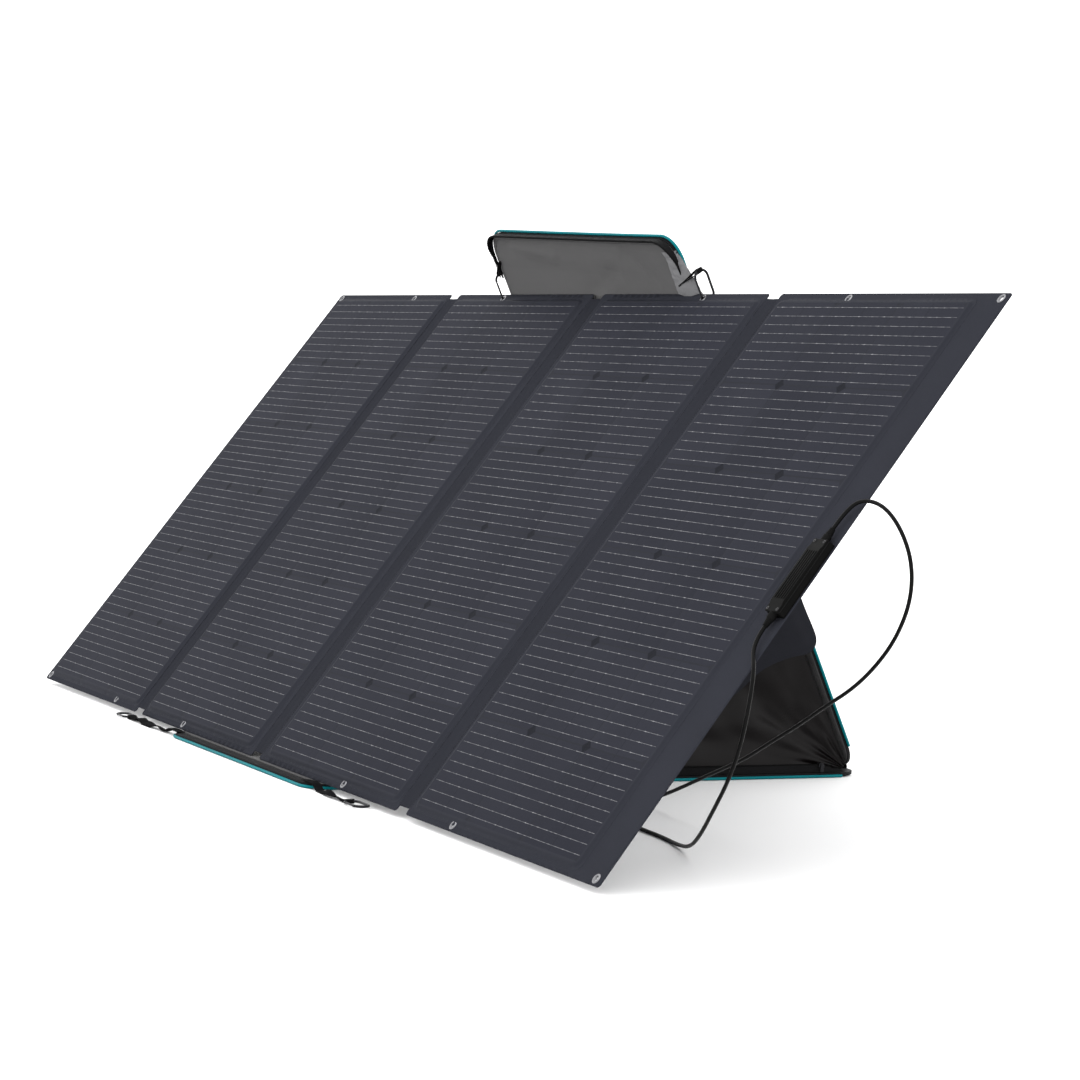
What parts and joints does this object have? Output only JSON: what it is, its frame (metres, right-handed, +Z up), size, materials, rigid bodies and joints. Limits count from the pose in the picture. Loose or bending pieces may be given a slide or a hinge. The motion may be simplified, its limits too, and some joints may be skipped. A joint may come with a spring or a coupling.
{
  "type": "folding solar panel kit",
  "caption": "Portable folding solar panel of fabric-hinged sections, propped on its opened zip case with clips, a junction box and two output leads.",
  "frame": {"origin": "on the floor, on the case's underside, below the panel's bottom edge and midway along the panel's width", "axes": "+X along the panel's width to the junction box side, +Y to the rear, +Z up; the cells face -Y and up"},
  "size_m": [2.4688, 1.108, 0.9651],
  "materials": {
    "panel_fabric": "matt woven polyester",
    "composite_board": "glass-fibre board",
    "solar_cell": "dark monocrystalline silicon, satin",
    "front_film": "matt embossed film over cells",
    "eyelet_metal": "polished nickel",
    "box_plastic": "fine-grained black",
    "seal_rubber": "matt",
    "screw_steel": "satin",
    "circuit_board": "solder mask",
    "lead_jacket": "satin black jacket",
    "connector_plastic": "satin black",
    "case_fabric": "coated woven polyester",
    "case_board": "twin-wall board",
    "case_lining": "plain grey lining cloth",
    "zip_tape": "woven tape with coil teeth",
    "piping": "teal coated cord",
    "gusset_fabric": "glossy coated nylon",
    "webbing": "ribbed polyester webbing",
    "slider_metal": "black",
    "carabiner_metal": "black anodised"
  },
  "bodies": {
    "case_base": {"carabiner_lower_left_body": "carabiner_metal", "carabiner_lower_right_body": "carabiner_metal", "case_base_board": "case_board", "case_base_lining": "case_lining", "case_base_piping": "piping", "case_base_shell": "case_fabric", "case_base_zip_tape": "zip_tape", "case_gusset_left": "gusset_fabric", "case_gusset_right": "gusset_fabric", "case_spine": "case_fabric", "strap_lower_left": "webbing", "strap_lower_right": "webbing"},
    "carabiner_lower_left_gate": {"carabiner_lower_left_gate": "carabiner_metal"},
    "carabiner_lower_right_gate": {"carabiner_lower_right_gate": "carabiner_metal"},
    "panel_section_2": {"carabiner_upper_left_body": "carabiner_metal", "section_2_board": "composite_board", "section_2_cells": "solar_cell", "section_2_eyelets": "eyelet_metal", "section_2_film": "front_film", "section_2_skin": "panel_fabric"},
    "carabiner_upper_left_gate": {"carabiner_upper_left_gate": "carabiner_metal"},
    "panel_section_3": {"carabiner_upper_right_body": "carabiner_metal", "section_3_board": "composite_board", "section_3_cells": "solar_cell", "section_3_eyelets": "eyelet_metal", "section_3_film": "front_film", "section_3_skin": "panel_fabric"},
    "carabiner_upper_right_gate": {"carabiner_upper_right_gate": "carabiner_metal"},
    "case_back": {"case_back_board": "case_board", "case_back_lining": "case_lining", "case_back_piping": "piping", "case_back_shell": "case_fabric", "case_back_zip_tape": "zip_tape", "strap_upper_left": "webbing", "strap_upper_right": "webbing"},
    "case_handle": {"case_handle": "webbing"},
    "panel_section_4": {"diode_board": "circuit_board", "junction_box_base": "box_plastic", "junction_box_gasket": "seal_rubber", "junction_box_lid": "box_plastic", "junction_box_screws": "screw_steel", "lead_glands": "box_plastic", "lead_lower": "lead_jacket", "lead_upper": "lead_jacket", "plug_nut": "connector_plastic", "plug_shell": "connector_plastic", "section_4_board": "composite_board", "section_4_cells": "solar_cell", "section_4_eyelets": "eyelet_metal", "section_4_film": "front_film", "section_4_skin": "panel_fabric", "socket_nut": "connector_plastic", "socket_shell": "connector_plastic"},
    "panel_section_1": {"section_1_board": "composite_board", "section_1_cells": "solar_cell", "section_1_eyelets": "eyelet_metal", "section_1_film": "front_film", "section_1_skin": "panel_fabric"},
    "zip_slider_left": {"zip_slider_left": "slider_metal"},
    "zip_slider_right": {"zip_slider_right": "slider_metal"}
  },
  "joints": [
    {"name": "panel_tilt", "type": "hinge", "parent": "case_base", "child": "panel_section_2", "pos_m": [0, 0, 0.01], "axis": [1, 0, 0], "range_deg": [0, 3]},
    {"name": "case_lean", "type": "hinge", "parent": "case_base", "child": "case_back", "pos_m": [0, 1.058, 0.01], "axis": [1, 0, 0], "range_deg": [0, 1.65], "deforming": ["strap_upper_left", "strap_upper_right", "case_gusset_left", "case_gusset_right"]},
    {"name": "fold_1_over_2", "type": "hinge", "parent": "panel_section_2", "child": "panel_section_1", "pos_m": [-0.6195, 0.31077, 0.4382], "axis": [0, -0.6018, -0.7986], "range_deg": [-175.5, 0]},
    {"name": "fold_3_over_2", "type": "hinge", "parent": "panel_section_2", "child": "panel_section_3", "pos_m": [-0.033, 0.30558, 0.44211], "axis": [0, -0.6018, -0.7986], "range_deg": [0, 178]},
    {"name": "fold_4_over_3", "type": "hinge", "parent": "panel_section_3", "child": "panel_section_4", "pos_m": [0.5575, 0.31077, 0.4382], "axis": [0, 0.6018, 0.7986], "range_deg": [-172.5, 0]},
    {"name": "gate_upper_left", "type": "hinge", "parent": "panel_section_2", "child": "carabiner_upper_left_gate", "pos_m": [-0.4, 0.61312, 0.87624], "axis": [1, 0, 0], "range_deg": [0, 18], "stiffness_Nm_per_rad": 0.02, "springref_deg": -17.19},
    {"name": "gate_upper_right", "type": "hinge", "parent": "panel_section_3", "child": "carabiner_upper_right_gate", "pos_m": [0.34, 0.61312, 0.87624], "axis": [1, 0, 0], "range_deg": [0, 18], "stiffness_Nm_per_rad": 0.02, "springref_deg": -17.19},
    {"name": "gate_lower_left", "type": "hinge", "parent": "case_base", "child": "carabiner_lower_left_gate", "pos_m": [-0.6529, -0.02975, 0.00425], "axis": [0, 0, 1], "range_deg": [0, 18], "stiffness_Nm_per_rad": 0.02, "springref_deg": -17.19},
    {"name": "gate_lower_right", "type": "hinge", "parent": "case_base", "child": "carabiner_lower_right_gate", "pos_m": [0.4171, -0.02975, 0.00425], "axis": [0, 0, 1], "range_deg": [0, 18], "stiffness_Nm_per_rad": 0.02, "springref_deg": -17.19},
    {"name": "slider_left_travel", "type": "slide", "parent": "case_base", "child": "zip_slider_left", "axis": [0, -1, 0], "range_m": [0, 0.06]},
    {"name": "slider_right_travel", "type": "slide", "parent": "case_base", "child": "zip_slider_right", "axis": [0, -1, 0], "range_m": [0, 0.06]},
    {"name": "handle_swing", "type": "hinge", "parent": "case_base", "child": "case_handle", "pos_m": [-0.396, 0.5, 0.0016], "axis": [0, 1, 0], "range_deg": [0, 100]}
  ],
  "couplings": [
    {"joint": "case_lean", "follows": "panel_tilt", "ratio": 0.5}
  ]
}
